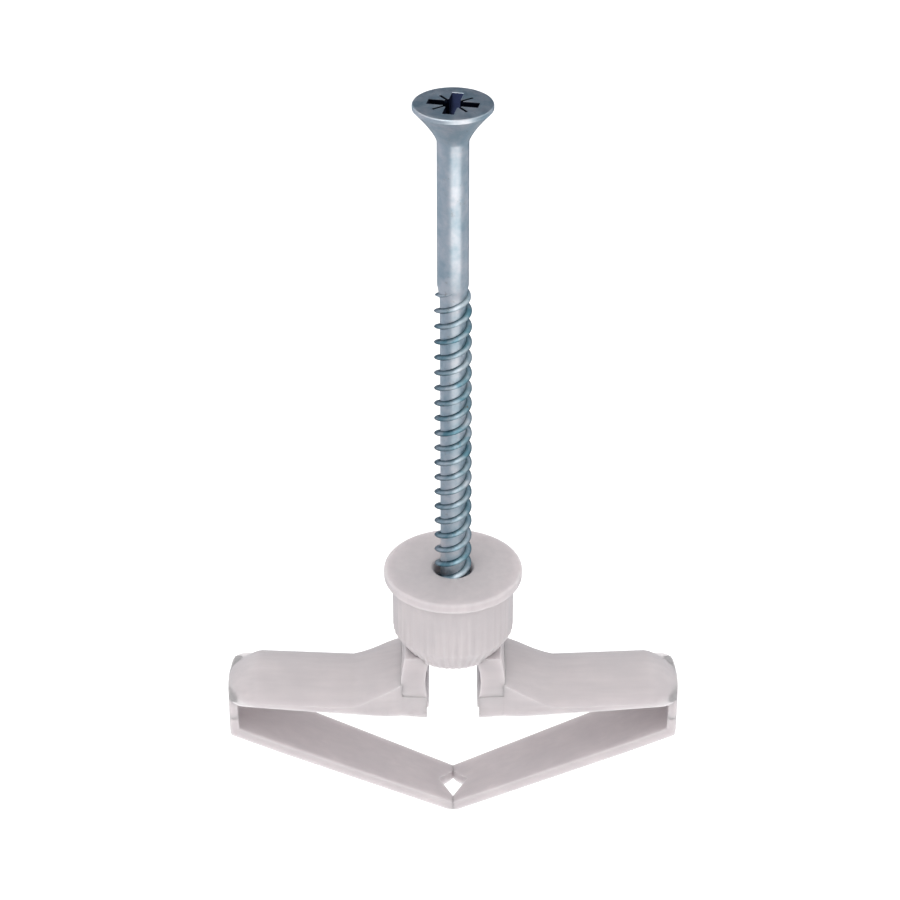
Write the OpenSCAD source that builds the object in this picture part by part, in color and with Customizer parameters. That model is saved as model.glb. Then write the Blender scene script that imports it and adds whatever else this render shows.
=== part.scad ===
// Collapsible plasterboard wing anchor with its countersunk wood screw.
// Origin: centre of the flange's underside, on the bore's axis. +Z points to the
// screw's head, and X runs along the two wings. Millimetres.

/* [Flange] */
// Diameter of the flange that stops on the face of the board
flange_d = 14.8; // [14:0.1:17]
// Thickness of the flange
flange_t = 1.1; // [0.8:0.1:1.6]
// Bevel round the flange's upper edge
flange_bevel = 0.3; // [0.1:0.05:0.5]

/* [Barrel] */
// Diameter of the barrel, which fills the drilled hole
barrel_d = 13; // [12.6:0.1:13.4]
// Depth of the barrel's full diameter below the flange
barrel_depth = 6.2; // [5:0.1:6.6]
// Depth at which the chamfer has closed to the nose
chamfer_depth = 8.2; // [7.4:0.1:8.3]
// Depth of the nose's end
nose_depth = 8.8; // [8.6:0.1:9]
// Diameter of the nose
nose_d = 10.5; // [10:0.1:11]
// Diameter of the bore that the screw cuts into
bore_d = 4.4; // [4.2:0.1:4.6]
// Diameter of the bore's chamfered mouth
mouth_d = 5.4; // [5:0.1:8.6]
// Number of ribs on each half of the nose
rib_count = 9; // [5:1:11]
// Radius of each nose rib
rib_r = 0.2; // [0.1:0.05:0.3]

/* [Neck hinges] */
// Distance of each neck hinge from the bore's axis
neck_x = 4.9; // [4.8:0.05:5]
// Depth of the neck hinges
neck_z = 12; // [11.8:0.1:12.1]
// Width of each neck along its hinge
neck_w = 6.4; // [5:0.2:7]
// Thickness of each neck
neck_t = 0.9; // [0.7:0.05:1]
// Radius of the bead along the neck hinge
neck_bead_r = 0.45; // [0.4:0.05:0.5]

/* [Arms] */
// Distance of the arms' inner ends from the axis
arm_in = 2.6; // [2.4:0.1:3]
// Distance of the arms' tips from the axis
arm_out = 24.65; // [24.4:0.05:24.65]
// Width of an arm
arm_w = 9.8; // [9:0.1:10]
// Radius of an arm's crown
crown_r = 6.5; // [6:0.1:7]
// Thickness of an arm at its inner end
arm_t = 3.45; // [2.8:0.05:3.6]
// Slope of the crown, in degrees, rising to the tip
crown_slope = 2.6; // [1:0.2:4]
// Slope of the flat underside, in degrees
flat_slope = 5; // [4.4:0.2:5.6]
// Height of the root's ramp above the crown
ramp_h = 1.5; // [0.6:0.1:1.5]
// Distance from the axis at which the ramp meets the crown
ramp_out = 11; // [9:0.5:14]
// Width of an arm's root, inward of the ramp
root_w = 8.8; // [8:0.1:8.9]
// Rounding of the tip's corners
tip_round = 2.6; // [1:0.1:3]
// Length of the slope that rounds the crown off at the tip
tip_fall = 2.8; // [1:0.1:4]

/* [Struts] */
// Distance of each tip hinge from the axis
tip_x = 24.7; // [24.7:0.05:24.9]
// Depth of the tip hinges
tip_z = 15.6; // [15.4:0.05:15.8]
// Radius of the bead along the tip hinge
tip_bead_r = 0.3; // [0.25:0.05:0.35]
// Depth of the struts' upper face at their outer ends
strut_top = 17; // [16.8:0.1:17.2]
// Depth of the struts' upper face at the apex
apex_z = 28.4; // [28:0.1:28.6]
// Depth of the flat below the apex
apex_foot = 29.5; // [29.3:0.1:29.6]
// Thickness of a strut
strut_t = 1.2; // [1:0.1:1.3]
// Width of a strut at its tip hinge
strut_w = 8.6; // [7.6:0.1:8.8]
// Width of a strut at the apex
apex_w = 6.8; // [6:0.1:7.8]
// Length of the diamond hole along the wings
hole_x = 2.7; // [1.6:0.1:3]
// Length of the diamond hole across the wings
hole_y = 4; // [2:0.1:4.2]

/* [Screw] */
// Overall length of the screw
screw_l = 63.5; // [55:0.5:70]
// Height of the head's top face above the origin
head_z = 54.9; // [50:0.1:56]
// Diameter of the head
head_d = 8; // [7.6:0.1:8.2]
// Height of the head's straight rim
rim_h = 0.45; // [0.2:0.05:0.6]
// Height of the trumpet-shaped underside
trumpet_h = 3.5; // [3:0.1:4]
// Diameter of the plain shank
shank_d = 3.2; // [3:0.05:3.4]
// Distance from the head's top face to the thread's start
shank_l = 20; // [16:0.5:24]
// Depth of the cross recess
recess_depth = 2.4; // [1.8:0.1:2.8]

/* [Thread] */
// Outside diameter of the thread
thread_d = 4; // [3.8:0.05:4.1]
// Diameter of the core
core_d = 2.7; // [2.6:0.05:3]
// Advance in one turn; the two starts are half of this apart
lead = 3.6; // [3:0.1:4.4]
// Number of thread starts
starts = 2; // [1:1:2]
// Width of a thread ridge at its root
ridge_w = 0.8; // [0.6:0.05:1]
// Length of the pointed tip
tip_l = 5; // [3:0.5:7]

/* [Hidden] */
$fn = 48;

plastic = "Gainsboro";
plastic_shade = "Silver";
zinc = "LightSteelBlue";

over = 1;                                  // how far cutting shapes run past a face
mouth_depth = (mouth_d - bore_d) / 2;      // the mouth closes at 45 degrees
neck_foot = neck_z - 0.5;                  // depth at which the neck meets its hinge
neck_in = neck_x - 0.15;                   // inner face of the neck
hinge_gap = 0.05;                          // running clearance round a hinge bead
arm_top = neck_z + 0.25;                   // depth of the crown at the inner end
ramp_in = neck_x + 1;                      // where the ramp starts, clear of the neck
lug_t = 1;                                 // thickness of the walls above and below the tip hinge
lug_foot = tip_z - 0.1;                    // depth of the upper wall's lower edge
groove_r = thread_d / 2 + 0.2;             // screw groove under the folded arms
apex_gap = 0.06;                           // half the gap between the strut ends
strut_rise = (apex_z - strut_top) / (arm_out - apex_gap);
strut_drop = strut_t * sqrt(1 + pow(strut_rise, 2));   // a strut's thickness measured upright
segments = 16;                             // thread sections in one turn
thread_end = screw_l - tip_l / 2;
turns = (thread_end - shank_l) / lead;

// Depths along an arm's flat underside and its crown.
function flat_z(x) = -(arm_top + arm_t) + (x - arm_in) * tan(flat_slope);
function crown_z(x) = -arm_top + (x - arm_in) * tan(crown_slope);

// The left wing is the right one mirrored.
module left() {
    mirror([1, 0, 0]) children();
}

// Turns a side outline drawn in X and Z into a slab of width w across Y.
module across(w) {
    rotate([90, 0, 0]) linear_extrude(w, center = true) children();
}

// A round bar of radius r across Y.
module bead(x, z, r, w) {
    translate([x, 0, z]) rotate([90, 0, 0]) cylinder(r = r, h = w, center = true);
}

// A long bar along X whose highest line starts at (x, z) and rises by slope.
module crown_bar(x, z, slope) {
    translate([x, 0, z]) rotate([0, 90 - slope, 0])
        translate([crown_r, 0, -2 * over]) cylinder(r = crown_r, h = arm_out + 2 * over);
}

module mouth_and_bore() {
    translate([0, 0, -nose_depth - over]) cylinder(d = bore_d, h = nose_depth + flange_t + 2 * over);
    translate([0, 0, flange_t - mouth_depth])
        cylinder(d1 = bore_d, d2 = bore_d + 2 * (mouth_depth + over), h = mouth_depth + over);
}

module flange() {
    color(plastic) difference() {
        rotate_extrude() polygon([
            [0, 0], [flange_d / 2, 0], [flange_d / 2, flange_t - flange_bevel],
            [flange_d / 2 - flange_bevel, flange_t], [0, flange_t]]);
        mouth_and_bore();
    }
}

module barrel_outside() {
    rotate_extrude() polygon([
        [0, 0], [0, -nose_depth], [nose_d / 2, -nose_depth], [nose_d / 2, -chamfer_depth],
        [barrel_d / 2, -barrel_depth], [barrel_d / 2, 0]]);
}

// Ribs stand on the nose in front and behind, between the two necks.
module barrel() {
    spread = 80;
    rib_foot = 0.15;
    color(plastic) difference() {
        union() {
            barrel_outside();
            for (face = [90, 270], i = [0 : rib_count - 1])
                rotate(face - spread / 2 + i * spread / (rib_count - 1))
                    translate([nose_d / 2 - rib_r / 3, 0, rib_foot - nose_depth])
                        cylinder(r = rib_r, h = nose_depth - chamfer_depth);
        }
        mouth_and_bore();
    }
}

// A thin wall that hangs from the nose and carries the arm's living hinge.
module neck_right() {
    color(plastic_shade) difference() {
        translate([neck_in, -neck_w / 2, -neck_foot])
            cube([neck_t, neck_w, neck_foot - chamfer_depth]);
        barrel_outside();
    }
}

module neck_hinge_right() {
    color(plastic) union() {
        bead(neck_x, -neck_z, neck_bead_r, neck_w);
        translate([neck_in, -neck_w / 2, -neck_z]) cube([neck_t * 2 / 3, neck_w, neck_z - neck_foot]);
    }
}

module arm_side() {
    polygon([
        [arm_in, flat_z(arm_in)], [arm_in, -arm_top],
        [ramp_in, -arm_top], [ramp_in, crown_z(ramp_in) + ramp_h],
        [ramp_out, crown_z(ramp_out)], [arm_out - tip_fall, crown_z(arm_out - tip_fall)],
        [arm_out - tip_fall / 3, crown_z(arm_out) - tip_fall / 6],
        [arm_out, crown_z(arm_out) - tip_fall / 2], [arm_out, flat_z(arm_out)]]);
}

module arm_plan() {
    inset = arm_w / 2 - tip_round;
    translate([0, -root_w / 2]) square([ramp_in + over, root_w]);
    translate([ramp_in, -arm_w / 2]) square([arm_out - tip_round - ramp_in, arm_w]);
    translate([0, -inset]) square([arm_out, 2 * inset]);
    for (y = [-inset, inset]) translate([arm_out - tip_round, y]) circle(r = tip_round);
}

// D-section arm: a round crown over a flat, with a ramp where it meets the barrel.
module arm_right() {
    ramp_slope = atan2(crown_z(ramp_in) + ramp_h - crown_z(ramp_out), ramp_out - ramp_in);
    color(plastic) difference() {
        intersection() {
            across(arm_w) arm_side();
            union() {
                crown_bar(arm_in, -arm_top, crown_slope);
                crown_bar(ramp_in, crown_z(ramp_in) + ramp_h, -ramp_slope);
            }
            translate([0, 0, -2 * neck_z]) linear_extrude(2 * neck_z) arm_plan();
        }
        bead(neck_x, -neck_z, neck_bead_r + hinge_gap, arm_w + over);
        translate([0, 0, -neck_z - neck_x]) rotate([0, 90, 0]) cylinder(r = groove_r, h = arm_out);
    }
}

// The wall under the arm's tip, which ends just above the tip hinge.
module tip_lug_right() {
    lug_in = arm_out - lug_t;
    color(plastic_shade) difference() {
        across(strut_w) polygon([
            [lug_in, -lug_foot], [arm_out, -lug_foot],
            [arm_out, flat_z(arm_out)], [lug_in, flat_z(lug_in)]]);
        bead(tip_x, -tip_z, tip_bead_r + hinge_gap, strut_w + over);
    }
}

module tip_hinge_right() {
    color(plastic) bead(tip_x, -tip_z, tip_bead_r, strut_w);
}

// A flat bar that turns up at its outer end to meet the tip hinge, and is cut
// upright at the apex, where its twin meets it and half of the diamond hole lies.
module strut_right() {
    knuckle_in = arm_out - lug_t;
    color(plastic_shade) difference() {
        intersection() {
            across(strut_w) polygon([
                [arm_out, -tip_z], [knuckle_in, -tip_z],
                [knuckle_in, -strut_top - lug_t * strut_rise], [apex_gap, -apex_z],
                [apex_gap, -apex_foot],
                [(strut_drop - apex_foot + apex_z) / strut_rise + apex_gap, -apex_foot],
                [arm_out, -strut_top - strut_drop]]);
            translate([0, 0, -2 * apex_z]) linear_extrude(2 * apex_z) polygon([
                [0, -apex_w / 2], [0, apex_w / 2],
                [arm_out, strut_w / 2], [arm_out, -strut_w / 2]]);
        }
        bead(tip_x, -tip_z, tip_bead_r, strut_w + over);
        translate([0, 0, -2 * apex_z]) linear_extrude(2 * apex_z) polygon([
            [-hole_x / 2, 0], [0, -hole_y / 2], [hole_x / 2, 0], [0, hole_y / 2]]);
    }
}

// Half widths of the head's underside, from the rim down to the shank.
function trumpet_r(t) = shank_d / 2 + (head_d - shank_d) / 2 * pow(1 - t, 1.35);

// Cross recess for the driver, with four fine marks between its arms.
module recess() {
    slot_w = 1.1;
    slot_r = 2.3;
    foot_r = 1.1;
    mark_w = 0.2;
    translate([0, 0, -recess_depth]) {
        intersection() {
            cylinder(r1 = foot_r, r2 = slot_r, h = recess_depth);
            for (a = [0, 90]) rotate(a) translate([-slot_r, -slot_w / 2, 0])
                cube([2 * slot_r, slot_w, recess_depth]);
        }
        rotate(45) translate([-slot_w * 0.75, -slot_w * 0.75, recess_depth / 2])
            cube([slot_w * 1.5, slot_w * 1.5, recess_depth]);
    }
    for (a = [45 : 90 : 315]) rotate(a) translate([slot_w, -mark_w / 2, -mark_w])
        cube([slot_r - slot_w, mark_w, recess_depth]);
}

module screw_body() {
    edge = 0.15;
    steps = 8;
    core_end = screw_l - tip_l;
    point_r = 0.1;
    color(zinc) translate([0, 0, head_z]) difference() {
        rotate_extrude() polygon(concat(
            [[0, -screw_l], [0, 0], [head_d / 2 - edge, 0], [head_d / 2, -edge]],
            [for (i = [0 : steps]) [trumpet_r(i / steps), -rim_h - trumpet_h * i / steps]],
            [[shank_d / 2, -shank_l], [core_d / 2, -shank_l - lead / 4],
             [core_d / 2, -core_end], [point_r, -screw_l]]));
        recess();
    }
}

// Height of the ridge above the core: it runs out at the shank and at the tip.
function ridge_h(t) = (thread_d - core_d) / 2 * min(1, t * 1.5, (turns - t) * 0.8);
// Radius of the core under the ridge, which narrows along the pointed tip.
function core_r(z) = core_d / 2 * min(1, (screw_l + z) / tip_l);

function section(t, z) = let (r = core_r(z), root = 0.15) [
    [r - root, z - ridge_w / 2], [r + max(0.02, ridge_h(t)), z], [r - root, z + ridge_w / 2]];

// One ridge of the right-hand thread, swept down the core section by section.
module ridge() {
    count = floor(turns * segments);
    points = [for (i = [0 : count]) let (t = i / segments, a = -360 * t)
        for (p = section(t, -shank_l - lead * t)) [p[0] * cos(a), p[0] * sin(a), p[1]]];
    sides = [for (i = [0 : count - 1], k = [0 : 2], half = [0, 1]) let (n = (k + 1) % 3, b = 3 * i)
        half == 0 ? [b + k, b + n, b + 3 + n] : [b + k, b + 3 + n, b + 3 + k]];
    polyhedron(points, concat([[2, 1, 0], [3 * count, 3 * count + 1, 3 * count + 2]], sides));
}

module screw_thread() {
    color(zinc) translate([0, 0, head_z])
        for (i = [0 : starts - 1]) rotate(360 * i / starts) ridge();
}

flange();
barrel();
left() neck_right();  // neck_left
neck_right();
left() neck_hinge_right();  // neck_hinge_left
neck_hinge_right();
left() arm_right();  // arm_left
arm_right();
left() tip_lug_right();  // tip_lug_left
tip_lug_right();
left() tip_hinge_right();  // tip_hinge_left
tip_hinge_right();
left() strut_right();  // strut_left
strut_right();
screw_body();
screw_thread();
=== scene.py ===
from math import atan2, cos, hypot, pi, radians, sin, sqrt, tan

import bmesh
import bpy
from mathutils import Matrix, Vector


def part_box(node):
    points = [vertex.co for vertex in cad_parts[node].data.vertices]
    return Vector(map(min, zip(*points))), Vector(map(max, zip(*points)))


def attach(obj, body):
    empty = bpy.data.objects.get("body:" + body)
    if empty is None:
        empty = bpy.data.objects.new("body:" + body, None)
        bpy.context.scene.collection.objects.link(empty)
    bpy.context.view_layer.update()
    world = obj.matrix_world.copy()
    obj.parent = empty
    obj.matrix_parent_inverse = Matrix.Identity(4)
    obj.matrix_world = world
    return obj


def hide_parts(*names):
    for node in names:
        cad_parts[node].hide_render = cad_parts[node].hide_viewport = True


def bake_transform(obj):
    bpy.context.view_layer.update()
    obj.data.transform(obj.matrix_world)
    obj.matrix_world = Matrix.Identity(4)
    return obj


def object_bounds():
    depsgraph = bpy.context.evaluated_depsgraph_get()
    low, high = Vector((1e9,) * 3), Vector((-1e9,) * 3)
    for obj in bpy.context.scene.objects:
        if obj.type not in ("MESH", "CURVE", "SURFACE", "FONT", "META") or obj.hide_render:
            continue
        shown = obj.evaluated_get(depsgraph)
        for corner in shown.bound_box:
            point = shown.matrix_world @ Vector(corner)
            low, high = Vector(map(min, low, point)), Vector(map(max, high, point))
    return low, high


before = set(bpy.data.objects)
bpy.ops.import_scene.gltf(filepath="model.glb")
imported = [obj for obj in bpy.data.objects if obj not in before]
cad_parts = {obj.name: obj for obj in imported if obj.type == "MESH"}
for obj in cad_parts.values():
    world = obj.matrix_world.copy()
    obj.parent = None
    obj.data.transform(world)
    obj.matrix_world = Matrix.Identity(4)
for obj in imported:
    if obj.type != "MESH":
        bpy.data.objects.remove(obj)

cad_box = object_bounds()

# ---------------------------------------------------------------------------
# Collar: the flange that stops on the board and the barrel that fills the hole.
# It is part of one injection moulding in natural, unpigmented polypropylene,
# with a countersunk bore and fine ribs that keep it from turning in the board.
# ---------------------------------------------------------------------------
MM = 0.001


def arc(centre_x, centre_z, radius, start, end, steps):
    """Points on a circular arc, from the start to the end angle in degrees."""
    turns = [radians(start + (end - start) * i / steps) for i in range(steps + 1)]
    return [(centre_x + radius * cos(t), centre_z + radius * sin(t)) for t in turns]


def linear(code):
    """An sRGB hex colour as linear red, green, blue and alpha."""
    parts = [int(code[i : i + 2], 16) / 255 for i in (1, 3, 5)]
    return [p / 12.92 if p <= 0.04045 else ((p + 0.055) / 1.055) ** 2.4 for p in parts] + [1]


def add_node(tree, kind, links=(), inputs=(), **settings):
    """Adds a node with its settings and inputs, and links (input, from node, output)."""
    node = tree.nodes.new(kind)
    for name, value in settings.items():
        setattr(node, name, value)
    for name, value in dict(inputs).items():
        node.inputs[name].default_value = value
    for name, source, output in links:
        tree.links.new(source.outputs[output], node.inputs[name])
    return node


def new_material(name):
    """An empty node material with its shader and output."""
    material = bpy.data.materials.new(name)
    material.use_nodes = True
    tree = material.node_tree
    tree.nodes.clear()
    shader = add_node(tree, "ShaderNodeBsdfPrincipled")
    add_node(tree, "ShaderNodeOutputMaterial", [("Surface", shader, "BSDF")])
    return material, tree, shader


def finish_mesh(bm, name, material, sharp=35):
    """Merges doubles, turns the faces outwards and makes the object."""
    bmesh.ops.remove_doubles(bm, verts=bm.verts, dist=0.002 * MM)
    bmesh.ops.recalc_face_normals(bm, faces=bm.faces)
    mesh = bpy.data.meshes.new(name)
    bm.to_mesh(mesh)
    bm.free()
    for polygon in mesh.polygons:
        polygon.use_smooth = True
    mesh.set_sharp_from_angle(angle=radians(sharp))
    mesh.materials.append(material)
    piece = bpy.data.objects.new(name, mesh)
    bpy.context.collection.objects.link(piece)
    return piece


def spin_profile(bm, points, steps, closed=True):
    """An outline of (radius, height) points in millimetres, spun round the Z axis."""
    verts = [bm.verts.new((r * MM, 0, z * MM)) for r, z in points]
    first = 0 if closed else 1
    edges = [bm.edges.new((verts[i - 1], verts[i])) for i in range(first, len(verts))]
    bmesh.ops.spin(
        bm, geom=verts + edges, cent=(0, 0, 0), axis=(0, 0, 1), angle=2 * pi,
        steps=steps, use_merge=True,
    )


# Natural polypropylene, injection moulded: milky, with soft light inside it, a
# satin skin, faint flow lines along each limb and a slightly pink cast. Flow is
# the size of those lines along X, Y and Z in millimetres.
def natural_polypropylene(name, flow):
    cloud_size, grain_size = 4, 0.35  # the skin's grain is drawn coarse enough to show
    material, tree, shader = new_material(name)
    shader.inputs["IOR"].default_value = 1.49
    shader.inputs["Specular IOR Level"].default_value = 0.4
    shader.inputs["Subsurface Weight"].default_value = 0.75
    shader.inputs["Subsurface Radius"].default_value = (1.0, 0.95, 0.96)
    shader.inputs["Subsurface Scale"].default_value = 2.0 * MM
    place = add_node(tree, "ShaderNodeTexCoord")
    stretch = add_node(
        tree, "ShaderNodeMapping", [("Vector", place, "Object")],
        {"Scale": [1 / (s * MM) for s in flow]},
    )
    cloud = add_node(
        tree, "ShaderNodeTexNoise", [("Vector", place, "Object")],
        {"Scale": 1 / (cloud_size * MM), "Detail": 3, "Roughness": 0.6},
    )
    lines = add_node(
        tree, "ShaderNodeTexNoise", [("Vector", stretch, "Vector")],
        {"Scale": 1, "Detail": 4, "Roughness": 0.55},
    )
    blend = add_node(
        tree, "ShaderNodeMath", [(0, cloud, "Fac"), (1, lines, "Fac")], operation="MULTIPLY_ADD",
        inputs={2: 0.12},
    )
    ramp = add_node(tree, "ShaderNodeValToRGB", [("Fac", blend, "Value")])
    ramp.color_ramp.elements[0].position = 0.2
    ramp.color_ramp.elements[0].color = linear("#BAB4B6")
    ramp.color_ramp.elements[1].position = 0.6
    ramp.color_ramp.elements[1].color = linear("#C6BFC0")
    tree.links.new(ramp.outputs["Color"], shader.inputs["Base Color"])
    grain = add_node(
        tree, "ShaderNodeTexNoise", [("Vector", place, "Object")],
        {"Scale": 1 / (grain_size * MM), "Detail": 2},
    )
    rough = add_node(
        tree, "ShaderNodeMapRange", [("Value", grain, "Fac")],
        {"From Min": 0.3, "From Max": 0.7, "To Min": 0.36, "To Max": 0.5},
    )
    tree.links.new(rough.outputs["Result"], shader.inputs["Roughness"])
    fine = add_node(
        tree, "ShaderNodeBump", [("Height", grain, "Fac")],
        {"Strength": 0.12, "Distance": 0.02 * MM},
    )
    drawn = add_node(
        tree, "ShaderNodeBump", [("Height", lines, "Fac"), ("Normal", fine, "Normal")],
        {"Strength": 0.35, "Distance": 0.05 * MM},
    )
    tree.links.new(drawn.outputs["Normal"], shader.inputs["Normal"])
    return material


plastic_collar = natural_polypropylene("natural_polypropylene_collar", (0.8, 0.8, 6))

flange_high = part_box("flange")[1]
barrel_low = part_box("barrel")[0]
flange_r = flange_high[1] / MM
flange_t = flange_high[2] / MM
nose_z = barrel_low[2] / MM
barrel_r = -barrel_low[0] / MM
bore_r, mouth_r, mouth_round = 2.03, 2.3, 0.3
mouth_depth = mouth_r - bore_r + 0.1
barrel_z, chamfer_z = -6.2, -8.2
nose_r = 5.25
edge_r, under_r, fillet_r, shoulder_r = 0.3, 0.2, 0.25, 0.5
face_rings = (3.6, 4.6, 5.6)
wall_rings = (-1.5, -3, -4.5)

collar_outline = (
    arc(bore_r + edge_r / 2, nose_z + edge_r / 2, edge_r / 2, 270, 180, 4)
    + [(bore_r, nose_z / 2), (bore_r, flange_t - mouth_depth)]
    + arc(mouth_r + 0.12, flange_t - mouth_round, mouth_round, 150, 90, 5)
    + [(r, flange_t) for r in face_rings]
    + arc(flange_r - edge_r, flange_t - edge_r, edge_r, 90, 0, 6)
    + arc(flange_r - under_r, under_r, under_r, 0, -90, 4)
    + arc(barrel_r + fillet_r, -fillet_r, fillet_r, 90, 180, 4)
    + [(barrel_r, z) for z in wall_rings]
    + arc(barrel_r - shoulder_r, barrel_z, shoulder_r, 0, -30, 4)
    + [(nose_r + 0.05, chamfer_z)]
    + arc(nose_r - edge_r, nose_z + edge_r, edge_r, 0, -90, 5)
)

# The ribs start faint under the flange and deepen towards the nose.
ribs, steps_per_rib = 44, 10
rib_h, nose_rib_h = 0.03, 0.08
rib_in_r, rib_top_z = 4.6, -0.4
deepen_from_z, deepen_l = -4, 2
bm = bmesh.new()
spin_profile(bm, collar_outline, ribs * steps_per_rib)
for v in bm.verts:
    r, turn = hypot(v.co.x, v.co.y), atan2(v.co.y, v.co.x)
    if r > rib_in_r * MM and v.co.z < rib_top_z * MM:
        share = min(1, max(0, (deepen_from_z - v.co.z / MM) / deepen_l))
        dip = (rib_h + (nose_rib_h - rib_h) * share) * MM * (0.5 - 0.5 * cos(ribs * turn))
        v.co.x -= dip * cos(turn)
        v.co.y -= dip * sin(turn)
collar = finish_mesh(bm, "collar_moulding", plastic_collar)
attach(collar, "collar")
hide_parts("flange", "barrel")

# ---------------------------------------------------------------------------
# Arms: two D-section wings that swing out behind the board and press on it.
# Same moulding; the round crown lets the folded pair pass through the drilled
# hole, and a hollow groove under each root leaves room for the screw.
# ---------------------------------------------------------------------------
arm_low, arm_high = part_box("arm_right")
root_gap = 0.25
arm_in, arm_out = arm_low[0] / MM + root_gap, arm_high[0] / MM
arm_half = arm_high[1] / MM
crown_r, root_crown_r = 6.5, 14
crown_z = -12.25
flat_z = arm_low[2] / MM
crown_rise = tan(radians(2.6))
flat_rise = tan(radians(5))
ramp_from, ramp_to, ramp_h = 5.5, 11, 1.55
tip_round, tip_fall, tip_drop = 1.6, 3.4, 2.25
tip_bow, bow_l = 0.45, 6
root_half, root_to = 4.55, 8
lip_h = 0.15
groove_r, groove_z = 2.3, -16.9


def crown_height(x):
    """Height of an arm's crown line at a distance from the bore, ramp included."""
    ramp = min(1, max(0, (ramp_to - x) / (ramp_to - ramp_from)))
    step = 1 if x >= ramp_from - 0.01 else 0
    past = max(0, x - (arm_out - tip_fall)) / tip_fall
    fall = tip_drop * past**1.5
    return crown_z + (x - arm_in) * crown_rise + ramp_h * ramp * step - fall


def flat_height(x, y):
    """Height of the underside, with the screw groove under the root."""
    flat = flat_z + (x - arm_in) * flat_rise
    if abs(y) < groove_r:
        flat = max(flat, groove_z + sqrt(groove_r**2 - y**2))
    return flat


def arm_half_width(x):
    """Half width of an arm, narrowed at the root and rounded off at the tip."""
    past = max(0, x - (arm_out - tip_round))
    root = min(1, max(0, (root_to - x) / (root_to - ramp_from)))
    slim = (arm_half - root_half) * root * root
    return arm_half - slim - tip_round + sqrt(max(0, tip_round**2 - past**2))


def arm_section(x):
    """The D outline at x: up one side, over the crown, down the other, back along the flat."""
    half = arm_half_width(x)
    over = [half * sin(radians(a)) for a in range(-90, 91, 6)]
    ramp = min(1, max(0, (ramp_to - x) / (ramp_to - ramp_from)))
    round_r = crown_r + (root_crown_r - crown_r) * ramp**2
    crown = crown_height(x) - round_r
    low = flat_z + (x - arm_in) * flat_rise + lip_h
    top = [(y, max(low, crown + sqrt(round_r**2 - y * y))) for y in over]
    under = [half * (1 - 2 * i / 24) for i in range(25)]
    return top + [(y, flat_height(x, y)) for y in under]


stations = (
    [arm_in, 3.6, 4.5, ramp_from - 0.02, ramp_from]
    + [ramp_from + (ramp_to - ramp_from) * i / 6 for i in range(1, 7)]
    + [12.5, 15, 17.5, 20, arm_out - tip_fall]
    + [arm_out - tip_fall * (1 - sin(radians(a))) for a in range(9, 91, 9)]
)


def arm_mesh():
    """A right-hand arm, extruded from section to section."""
    bm = bmesh.new()
    outline = arm_section(stations[0])
    verts = [bm.verts.new((stations[0] * MM, y * MM, z * MM)) for y, z in outline]
    end = bm.faces.new(verts)
    for x in stations[1:]:
        grown = bmesh.ops.extrude_discrete_faces(bm, faces=[end])["faces"]
        end = grown[0]
        for v, (y, z) in zip(end.verts, arm_section(x), strict=True):
            v.co = Vector((x * MM, y * MM, z * MM))
    return bm


def bevel_edges(bm, width, angle, segments=3, leave=()):
    """Rounds every edge that turns by more than angle degrees, but those to leave."""
    edges = [
        e for e in bm.edges
        if e.is_manifold and e.calc_face_angle() > radians(angle) and e not in leave
    ]
    bmesh.ops.bevel(
        bm, geom=edges, offset=width * MM, offset_type="OFFSET", affect="EDGES",
        segments=segments, profile=0.5, material=-1, clamp_overlap=True,
    )


def bow_tip(bm, keep=0.0):
    """Draws in the corners of a limb's outer end, though no further than keep."""
    for v in bm.verts:
        x = v.co.x / MM
        past = max(0, x - (arm_out - bow_l)) / bow_l
        drawn = x - tip_bow * past * (v.co.y / (arm_half * MM)) ** 2
        v.co.x = max(drawn, min(x, keep)) * MM


def mirrored(bm, side):
    """Turns a right-hand mesh into the left-hand one when side is -1."""
    bmesh.ops.scale(bm, vec=(side, 1, 1), verts=bm.verts)
    return bm


plastic_limb = natural_polypropylene("natural_polypropylene_limbs", (7, 0.7, 0.7))
SIDES = (("left", -1), ("right", 1))
for side, sign in SIDES:
    bm = arm_mesh()
    bmesh.ops.remove_doubles(bm, verts=bm.verts, dist=0.001 * MM)
    bevel_edges(bm, 0.12, 50)
    bow_tip(bm)
    arm = finish_mesh(mirrored(bm, sign), f"arm_{side}_moulding", plastic_limb)
    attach(arm, f"arm_{side}")
    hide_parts(f"arm_{side}")

# ---------------------------------------------------------------------------
# Necks: the thin webs that hang the arms from the barrel's nose.
# Moulded in one with both, and thin enough to bend as a living hinge.
# ---------------------------------------------------------------------------


def prism(points, half_width):
    """A side outline of (x, z) points, extruded across Y."""
    bm = bmesh.new()
    verts = [bm.verts.new((x * MM, -half_width * MM, z * MM)) for x, z in points]
    face = bm.faces.new(verts)
    grown = bmesh.ops.extrude_face_region(bm, geom=[face])["geom"]
    moved = [g for g in grown if isinstance(g, bmesh.types.BMVert)]
    bmesh.ops.translate(bm, vec=(0, 2 * half_width * MM, 0), verts=moved)
    return bm


def cut_rows(bm, axis, low, high, count):
    """Slices the mesh into even rows along an axis, so that it can take a taper or a bow."""
    normal = [0, 0, 0]
    normal[axis] = 1
    for i in range(1, count):
        point = [0, 0, 0]
        point[axis] = (low + (high - low) * i / count) * MM
        geom = list(bm.verts) + list(bm.edges) + list(bm.faces)
        bmesh.ops.bisect_plane(bm, geom=geom, plane_co=point, plane_no=normal)


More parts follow.
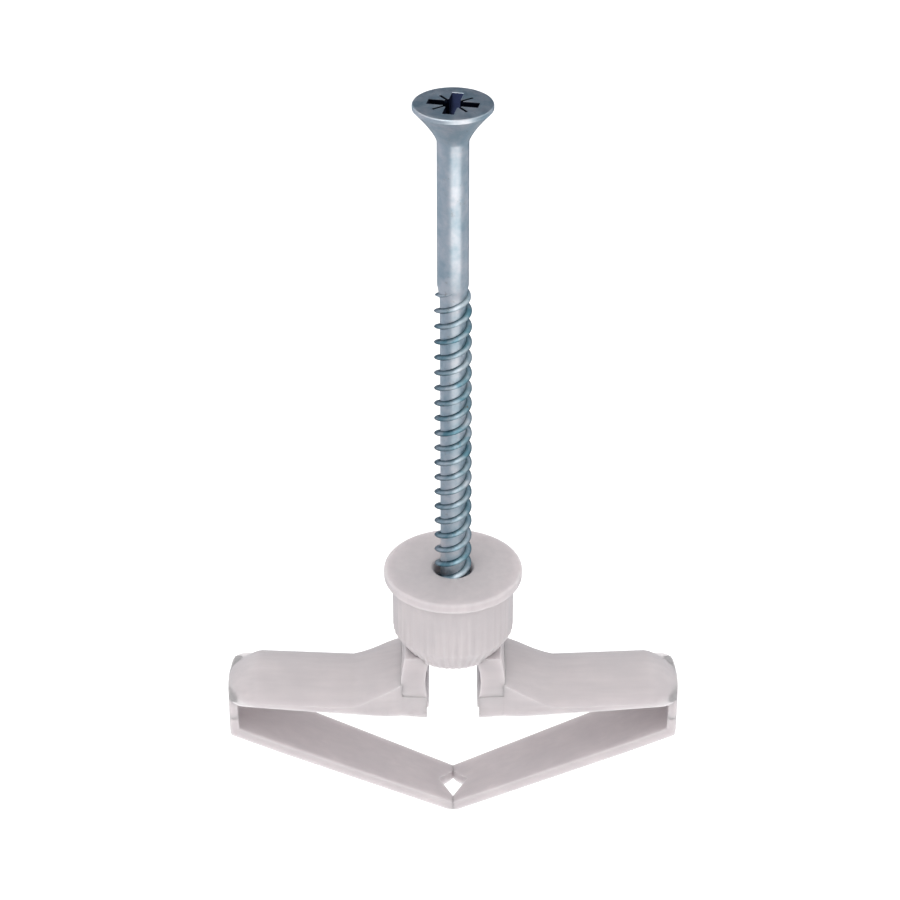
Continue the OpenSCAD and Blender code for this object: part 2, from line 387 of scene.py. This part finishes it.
neck_top, neck_foot = nose_z + 0.6, -14.4
neck_top_half, neck_mid_half, neck_foot_half = 4.05, 4.54, 4.4
for side, sign in SIDES:
    bm = prism(
        [(2.5, neck_top), (5.2, neck_top), (5.62, -10.6), (5.62, neck_foot), (2.62, neck_foot),
         (3.05, -11.2), (2.9, -10)], 1,
    )
    cut_rows(bm, 2, neck_foot, neck_top, 14)
    for v in bm.verts:
        z = v.co.z / MM
        if z > crown_z:
            share = (z - crown_z) / (neck_top - crown_z)
            v.co.y *= neck_mid_half + (neck_top_half - neck_mid_half) * share
        else:
            share = (crown_z - z) / (crown_z - neck_foot)
            v.co.y *= neck_mid_half + (neck_foot_half - neck_mid_half) * share
    bevel_edges(bm, 0.08, 50, 3)
    neck = finish_mesh(mirrored(bm, sign), f"neck_{side}_web", plastic_limb)
    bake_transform(neck)
    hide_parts(f"neck_{side}", f"neck_hinge_{side}")

# ---------------------------------------------------------------------------
# Struts: two flat bars that tie the arms' tips to the apex and spread them as
# the screw pulls. They meet at a fold line with a small diamond hole for the
# screw's point, and turn up at their outer ends into the tip hinges.
# ---------------------------------------------------------------------------
strut_low, strut_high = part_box("strut_right")
tip_z = strut_high[2] / MM
strut_out = strut_high[0] / MM
strut_half = strut_high[1] / MM
apex_half = 3.4
apex_foot = strut_low[2] / MM
apex_top = -28.4
strut_top = -17.0
strut_rise = (strut_top - apex_top) / strut_out
strut_t = 1.2
strut_drop = strut_t * sqrt(1 + strut_rise**2)
foot_from = (apex_foot - apex_top + strut_drop) / strut_rise
foot_flat, foot_round = foot_from * 0.6, foot_from * 1.5
wall_t = 1.0
hole_x, hole_y = 1.6, 2.25


def cut_out(piece, bm):
    """Cuts a closed mesh out of a piece."""
    cutter = finish_mesh(bm, "cutter", piece.data.materials[0])
    cut = piece.modifiers.new("cut", "BOOLEAN")
    cut.operation, cut.solver, cut.object = "DIFFERENCE", "EXACT", cutter
    seen = piece.evaluated_get(bpy.context.evaluated_depsgraph_get())
    old, mesh = piece.data, bpy.data.meshes.new_from_object(seen)
    piece.modifiers.clear()
    piece.data = mesh
    bpy.data.meshes.remove(old)
    bpy.data.objects.remove(cutter)
    mesh.name = piece.name


for side, sign in SIDES:
    knuckle_in = strut_out - wall_t
    bm = prism(
        [(0, apex_top), (knuckle_in, apex_top + strut_rise * knuckle_in), (knuckle_in, tip_z),
         (strut_out, tip_z), (strut_out, strut_top - strut_drop),
         (foot_round, apex_top + strut_rise * foot_round - strut_drop),
         (foot_flat, apex_foot), (0, apex_foot)], 1,
    )
    cut_rows(bm, 0, 0, strut_out, 14)
    for v in bm.verts:
        v.co.y *= apex_half + (strut_half - apex_half) * v.co.x / (strut_out * MM)
    fold_edges = [e for e in bm.edges if all(abs(v.co.x) < 0.01 * MM for v in e.verts)]
    bevel_edges(bm, 0.2, 35, leave=fold_edges)
    cut_rows(bm, 1, -strut_half, strut_half, 10)
    bow_tip(bm)
    strut = finish_mesh(mirrored(bm, sign), f"strut_{side}_moulding", plastic_limb)
    bm = bmesh.new()
    bmesh.ops.create_cube(bm, size=1)
    bmesh.ops.rotate(bm, cent=(0, 0, 0), matrix=Matrix.Rotation(pi / 4, 3, "Z"), verts=bm.verts)
    bmesh.ops.scale(
        bm, vec=(hole_x * sqrt(2) * MM, hole_y * sqrt(2) * MM, 4 * MM), verts=bm.verts
    )
    bmesh.ops.translate(bm, vec=(0, 0, apex_top * MM), verts=bm.verts)
    cut_out(strut, bm)
    strut.data.set_sharp_from_angle(angle=radians(35))
    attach(strut, f"strut_{side}")
    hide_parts(f"strut_{side}")

# ---------------------------------------------------------------------------
# Tip hinges: the end walls that join each arm to its strut.
# On the real part the wall thins to a web on the outside, which folds flat as the arm swings in;
# here it is drawn at an even thickness and does not fold.
# ---------------------------------------------------------------------------
web_top = flat_z + (arm_out - arm_in) * flat_rise + 0.05
web_foot = tip_z - 0.6
web_in, web_keep = strut_out - wall_t, strut_out - wall_t - 0.2
for side, sign in SIDES:
    bm = prism(
        [(web_in, web_top), (strut_out, web_top), (strut_out, web_foot), (web_in, web_foot)],
        strut_half,
    )
    bevel_edges(bm, 0.16, 50)
    cut_rows(bm, 2, web_foot, web_top, 12)
    cut_rows(bm, 1, -strut_half, strut_half, 10)
    bow_tip(bm, web_keep)
    web = finish_mesh(mirrored(bm, sign), f"tip_{side}_web", plastic_limb)
    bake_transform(web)
    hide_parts(f"tip_lug_{side}", f"tip_hinge_{side}")

# ---------------------------------------------------------------------------
# Screw: a countersunk wood screw, cold headed and thread rolled in steel, then
# bright zinc plated with a bluish passivate. It has a trumpet-shaped underside,
# a plain shank and a twin-start thread down to a gimlet point.
# ---------------------------------------------------------------------------


# Bright zinc plate over rolled steel: a clean blue-grey metal, a little soft in
# its reflections, with teal and straw passivate clouds and a few dark specks.
# Painted shade: the recess is painted near black, and a ridge's foot and crest are painted a
# dull dark teal.
cloud_size, speck_size = 2.2, 0.9
recess_slope, recess_in, recess_out = 0.63, 2.95, 3.15
# Where the painted ridge shade falls, in millimetres out from the core.
foot_l, crest_from, crest_to = 0.3, 0.46, 0.62


def zinc_plate(name, specks, cool, warm, foot_r):
    material, tree, shader = new_material(name)
    shader.inputs["Metallic"].default_value = 1.0
    place = add_node(tree, "ShaderNodeTexCoord")
    cloud = add_node(
        tree, "ShaderNodeTexNoise", [("Vector", place, "Object")],
        {"Scale": 1 / (cloud_size * MM), "Detail": 4, "Roughness": 0.6},
    )
    tint = add_node(tree, "ShaderNodeValToRGB", [("Fac", cloud, "Fac")])
    tint.color_ramp.elements[0].position = 0.36
    tint.color_ramp.elements[0].color = linear(cool)
    tint.color_ramp.elements[1].position = 0.64
    tint.color_ramp.elements[1].color = linear(warm)
    spots = add_node(
        tree, "ShaderNodeTexNoise", [("Vector", place, "Object")],
        {"Scale": 1 / (speck_size * MM), "Detail": 5, "Roughness": 0.7},
    )
    amount = add_node(
        tree, "ShaderNodeMapRange", [("Value", spots, "Fac")],
        {"From Min": 0.62, "From Max": 0.74, "To Min": 0, "To Max": specks},
    )
    colour = add_node(
        tree, "ShaderNodeMix", [("Factor", amount, "Result")], data_type="RGBA",
    )
    tree.links.new(tint.outputs["Color"], colour.inputs["A"])
    colour.inputs["B"].default_value = linear("#7C6A52")
    # Painted shade: a mask for the cross recess, below the head's top and inside the punch's
    # cone, that mixes the plate towards dark navy.
    parts = add_node(tree, "ShaderNodeSeparateXYZ", [("Vector", place, "Object")])
    below = add_node(
        tree, "ShaderNodeMapRange", [("Value", parts, "Z")],
        {"From Min": (head_z - 0.06) * MM, "From Max": (head_z - 0.01) * MM,
         "To Min": 1, "To Max": 0},
    )
    flat = add_node(tree, "ShaderNodeCombineXYZ", [("X", parts, "X"), ("Y", parts, "Y")])
    off_axis = add_node(
        tree, "ShaderNodeVectorMath", [("Vector", flat, "Vector")], operation="LENGTH"
    )
    cone = add_node(
        tree, "ShaderNodeMath", [(0, parts, "Z"), (2, off_axis, "Value")],
        {1: -recess_slope}, operation="MULTIPLY_ADD",
    )
    within = add_node(
        tree, "ShaderNodeMapRange", [("Value", cone, "Value")],
        {"From Min": (recess_in - recess_slope * head_z) * MM,
         "From Max": (recess_out - recess_slope * head_z) * MM, "To Min": 1, "To Max": 0},
    )
    recess = add_node(
        tree, "ShaderNodeMath", [(0, below, "Result"), (1, within, "Result")],
        operation="MULTIPLY",
    )
    painted_recess_shade = add_node(
        tree, "ShaderNodeMix", [("Factor", recess, "Value")], data_type="RGBA",
    )
    # Painted shade: the ridge's foot and crest are painted a dark teal, picked out by their
    # distance from the axis.
    foot = add_node(
        tree, "ShaderNodeMapRange", [("Value", off_axis, "Value")],
        {"From Min": foot_r * MM, "From Max": (foot_r + foot_l) * MM, "To Min": 0.9,
         "To Max": 0},
    )
    crest = add_node(
        tree, "ShaderNodeMapRange", [("Value", off_axis, "Value")],
        {"From Min": (foot_r + crest_from) * MM, "From Max": (foot_r + crest_to) * MM,
         "To Min": 0, "To Max": 0.6 if foot_r > 0 else 0},
    )
    shade = add_node(
        tree, "ShaderNodeMath", [(0, foot, "Result"), (1, crest, "Result")], operation="MAXIMUM",
    )
    painted_ridge_shade = add_node(tree, "ShaderNodeMix", [("Factor", shade, "Value")], data_type="RGBA")
    tree.links.new(colour.outputs["Result"], painted_ridge_shade.inputs["A"])
    painted_ridge_shade.inputs["B"].default_value = linear("#2C4048")
    tree.links.new(painted_ridge_shade.outputs["Result"], painted_recess_shade.inputs["A"])
    painted_recess_shade.inputs["B"].default_value = linear("#20263C")
    tree.links.new(painted_recess_shade.outputs["Result"], shader.inputs["Base Color"])
    rough = add_node(
        tree, "ShaderNodeMapRange", [("Value", spots, "Fac")],
        {"From Min": 0.35, "From Max": 0.7, "To Min": 0.3, "To Max": 0.46},
    )
    tree.links.new(rough.outputs["Result"], shader.inputs["Roughness"])
    bump = add_node(
        tree, "ShaderNodeBump", [("Height", spots, "Fac")],
        {"Strength": 0.25, "Distance": 0.02 * MM},
    )
    tree.links.new(bump.outputs["Normal"], shader.inputs["Normal"])
    return material


screw_low, screw_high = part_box("screw_body")
head_z, point_z = screw_high[2] / MM, screw_low[2] / MM
head_r = screw_high[0] / MM
shank_r, core_r, thread_r = 1.6, 1.33, 1.97
rim_h, trumpet_h = 0.45, 3.5
shank_l, tip_l, lead = 20, 5, 3.6

no_ridge = -1
zinc_shank = zinc_plate("zinc_plate_shank", 0.35, "#AEC0CA", "#DADBE0", no_ridge)
# The thread's copy of the plate is darker and more teal than the shank's: partly the passivate's
# own tint, partly painted shade between the turns.
zinc_thread_painted_shade = zinc_plate("zinc_plate_thread", 0.85, "#6E97A5", "#CBD3DA", core_r)

trumpet = [
    (shank_r + (head_r - shank_r) * (1 - i / 14) ** 1.35, head_z - rim_h - trumpet_h * i / 14)
    for i in range(15)
]
screw_outline = (
    [(0, head_z)]
    + [(head_r * s, head_z) for s in (0.3, 0.6, 0.8)]
    + arc(head_r - 0.18, head_z - 0.18, 0.18, 90, 0, 4)
    + trumpet
    + [(shank_r, head_z - z) for z in (8, 12, 16, shank_l - 0.3)]
    + [(shank_r - 0.08, head_z - shank_l - 0.1), (core_r, head_z - shank_l - 1.4)]
    + [(core_r, head_z - z) for z in (30, 40, 50)]
    + [(core_r, point_z + tip_l), (core_r * 0.55, point_z + tip_l * 0.45), (0.08, point_z + 0.1)]
    + [(0, point_z)]
)
bm = bmesh.new()
spin_profile(bm, screw_outline, 96, closed=False)
screw = finish_mesh(bm, "screw_body_turned", zinc_shank)

# The cross recess is pressed by a punch: a tapered cross, a square heart and
# four fine marks between its arms.
recess_depth, slot_half, slot_r, slot_foot_r = 2.6, 0.6, 2.7, 0.9
mark_half, mark_depth = 0.17, 0.2
heart_half, heart_foot_r = 1.15, 0.7


def tapered_slot(half, reach_top, reach_foot, depth, rise=0.5):
    """One punch blade across the head, along X, narrowing downwards."""
    bm = bmesh.new()
    bmesh.ops.create_cube(bm, size=1)
    for v in bm.verts:
        upper = v.co.z > 0
        reach = reach_top if upper else reach_foot
        width = half if upper else half * 0.8
        v.co.x = (reach if v.co.x > 0 else -reach) * MM
        v.co.y = (width if v.co.y > 0 else -width) * MM
        v.co.z = (head_z + (rise if upper else -depth)) * MM
    return bm


def punch(bm, turn):
    """Turns a blade round the axis and cuts it out of the head."""
    bmesh.ops.rotate(
        bm, cent=(0, 0, 0), matrix=Matrix.Rotation(radians(turn), 3, "Z"), verts=bm.verts
    )
    cut_out(screw, bm)


recess_turn = -11
for turn in (0, 90):
    punch(tapered_slot(slot_half, slot_r + 0.2, slot_foot_r, recess_depth), recess_turn + turn)
    mark = tapered_slot(mark_half, slot_r - 0.1, slot_r - 0.4, mark_depth)
    punch(mark, recess_turn + turn + 45)
punch(tapered_slot(heart_half, heart_half, heart_foot_r, recess_depth * 0.8), recess_turn + 45)
screw.data.set_sharp_from_angle(angle=radians(30))
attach(screw, "screw")
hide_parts("screw_body")

# Thread: two rolled ridges that wind down the core side by side.
turn_steps = 48
thread_top, thread_foot = head_z - shank_l + 0.9, point_z + tip_l * 0.45
turns = (thread_top - thread_foot) / lead
ridge_half, crest_half, sunk = 0.42, 0.06, 0.1
run_in, run_out = lead * 0.6, lead * 0.9
crest_taper, taper_l = 0.06, 20
bm = bmesh.new()
for start in (0, pi):
    ring = [
        (core_r - sunk, -ridge_half), (core_r + 0.08, -ridge_half * 0.62),
        (thread_r - 0.05, -crest_half), (thread_r, 0), (thread_r - 0.05, crest_half),
        (core_r + 0.08, ridge_half * 0.62), (core_r - sunk, ridge_half),
    ]
    verts = [
        bm.verts.new((r * cos(start) * MM, r * sin(start) * MM, (thread_top + z) * MM))
        for r, z in ring
    ]
    edges = [bm.edges.new((verts[i - 1], verts[i])) for i in range(len(verts))]
    bm.faces.new(verts)
    steps = round(turns * turn_steps)
    spun = bmesh.ops.spin(
        bm, geom=verts + edges, cent=(0, 0, 0), axis=(0, 0, 1),
        dvec=(0, 0, -lead / turn_steps * MM), angle=-2 * pi * steps / turn_steps,
        steps=steps, use_merge=False,
    )
    last = [g for g in spun["geom_last"] if isinstance(g, bmesh.types.BMEdge)]
    bmesh.ops.edgeloop_fill(bm, edges=last)
for v in bm.verts:
    r, z = hypot(v.co.x, v.co.y) / MM, v.co.z / MM
    grown = min(1, max(0, (thread_top - z) / run_in), max(0, (z - thread_foot) / run_out))
    core = core_r * min(1, max(0.1, (z - point_z) / tip_l))
    full = 1 - crest_taper * (1 - min(1, (thread_top - z) / taper_l))
    new_r = core - sunk + max(0, r - core_r + sunk) * max(0.02, grown) * full
    v.co.x *= new_r / r
    v.co.y *= new_r / r
thread = finish_mesh(bm, "screw_thread_rolled", zinc_thread_painted_shade, sharp=60)
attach(thread, "screw")
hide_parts("screw_thread")

# ---------------------------------------------------------------------------
# Studio: a plain white sweep, low enough for the folded wings to clear it, soft
# light from above, grey cards that only show in the metal, and the camera.
# ---------------------------------------------------------------------------
card_z = cad_box[0][2]
fold_room = 0.045
floor_z = card_z - fold_room


def studio_surface(name, code, emit=0.0):
    """Matt paper in one colour, with a little light of its own if asked."""
    material, tree, shader = new_material(name)
    shader.inputs["Base Color"].default_value = linear(code)
    shader.inputs["Roughness"].default_value = 0.9
    shader.inputs["Specular IOR Level"].default_value = 0.1
    if emit:
        shader.inputs["Emission Color"].default_value = linear(code)
        shader.inputs["Emission Strength"].default_value = emit
    return material


bm = bmesh.new()
bmesh.ops.create_grid(bm, x_segments=1, y_segments=1, size=6)
bmesh.ops.translate(bm, vec=(0, 0, floor_z), verts=bm.verts)
floor = finish_mesh(bm, "studio_floor", studio_surface("white_paper_sweep", "#FAFAFA", 0.3))


def hide_but_shine(piece):
    """Leaves a stage piece to be seen in reflections alone."""
    piece.visible_camera = False
    piece.visible_diffuse = False
    piece.visible_shadow = False
    piece.visible_transmission = False


def screen(name, code, start, end, distance, height):
    """A curved card between two bearings from the front; only reflections see it."""
    bm = bmesh.new()
    ends = [(0, -distance, card_z), (0, -distance, card_z + height)]
    verts = [bm.verts.new(p) for p in ends]
    edge = bm.edges.new(verts)
    turn = Matrix.Rotation(radians(start), 3, "Z")
    bmesh.ops.rotate(bm, cent=(0, 0, 0), matrix=turn, verts=verts)
    bmesh.ops.spin(
        bm, geom=verts + [edge], cent=(0, 0, 0), axis=(0, 0, 1), angle=radians(end - start),
        steps=12, use_merge=False,
    )
    hide_but_shine(finish_mesh(bm, name, studio_surface(f"{name}_paper", code)))


screen("screen_right", "#A7B0B8", 56, 140, 0.07, 0.13)
screen("screen_left", "#A9B1BA", -150, -14, 0.07, 0.13)
screen("screen_back", "#505C69", 140, 210, 0.09, 0.22)

bm = bmesh.new()
bmesh.ops.create_circle(bm, cap_ends=True, segments=64, radius=0.085)
bmesh.ops.translate(bm, vec=(0, 0, card_z + 0.02 * MM), verts=bm.verts)
hide_but_shine(finish_mesh(bm, "screen_floor", studio_surface("screen_floor_paper", "#9BA5AE")))

world = bpy.data.worlds.new("soft_tent")
world.use_nodes = True
tree = world.node_tree
tree.nodes.clear()
place = add_node(tree, "ShaderNodeTexCoord")
split = add_node(tree, "ShaderNodeSeparateXYZ", [("Vector", place, "Generated")])
sky = add_node(tree, "ShaderNodeValToRGB", [("Fac", split, "Z")])
sky.color_ramp.elements[0].position = 0.0
sky.color_ramp.elements[0].color = linear("#FAFBFB")
sky.color_ramp.elements[1].position = 0.5
sky.color_ramp.elements[1].color = linear("#FFFFFF")
shine = add_node(tree, "ShaderNodeBackground", [("Color", sky, "Color")], {"Strength": 1.0})
add_node(tree, "ShaderNodeOutputWorld", [("Surface", shine, "Background")])
bpy.context.scene.world = world


def face_to(place, target):
    """The turn that points a light or a camera at place towards the target."""
    return (Vector(target) - Vector(place)).to_track_quat("-Z", "Y").to_euler()


def soft_light(name, place, size, power):
    """A square soft box that looks at the middle of the object."""
    data = bpy.data.lights.new(name, "AREA")
    data.shape, data.size, data.energy = "SQUARE", size, power
    light = bpy.data.objects.new(name, data)
    bpy.context.collection.objects.link(light)
    light.location = place
    light.rotation_euler = face_to(place, (0, 0, 0.01))


soft_light("key", (-0.2, -0.35, 0.55), 0.4, 0.8)
soft_light("fill", (0.3, -0.45, 0.25), 0.4, 0.3)

lens_mm, sensor_mm = 106.0, 36.0
camera_data = bpy.data.cameras.new("camera")
camera_data.lens, camera_data.sensor_width = lens_mm, sensor_mm
camera_data.clip_start, camera_data.clip_end = 0.01, 10
camera_data.shift_x = -3 / 900
camera = bpy.data.objects.new("camera", camera_data)
bpy.context.collection.objects.link(camera)
camera.location = (0, -0.2353, 0.1599)
camera.rotation_euler = face_to(camera.location, (0, 0, 0.0157))
bpy.context.scene.camera = camera
bpy.context.scene.view_settings.view_transform = "Standard"
